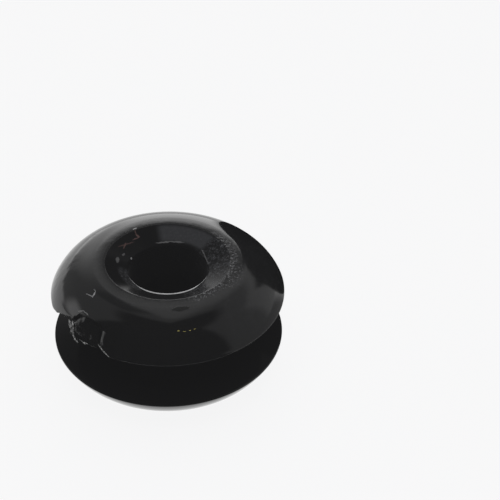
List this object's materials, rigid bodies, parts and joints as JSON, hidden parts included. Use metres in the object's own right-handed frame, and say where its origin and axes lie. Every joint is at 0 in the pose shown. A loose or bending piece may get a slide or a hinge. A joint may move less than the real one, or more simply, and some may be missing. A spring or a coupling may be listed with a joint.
{
  "type": "rubber grommet",
  "caption": "Round rubber grommet with two domed flanges, a panel groove between them and a dished cable bore.",
  "frame": {"origin": "on the bore's axis, midway between the two crowns, which is the groove's middle plane", "axes": "+Z along the bore towards the flange with the gate scar; the scar lies at -133 degrees from +X"},
  "size_m": [0.026, 0.026, 0.0132],
  "materials": {
    "rubber": "glossy black moulded rubber, hazy and dusty in patches, with a torn gate scar on one rim"
  },
  "bodies": {
    "root": {"grommet": "rubber"}
  },
  "joints": []
}
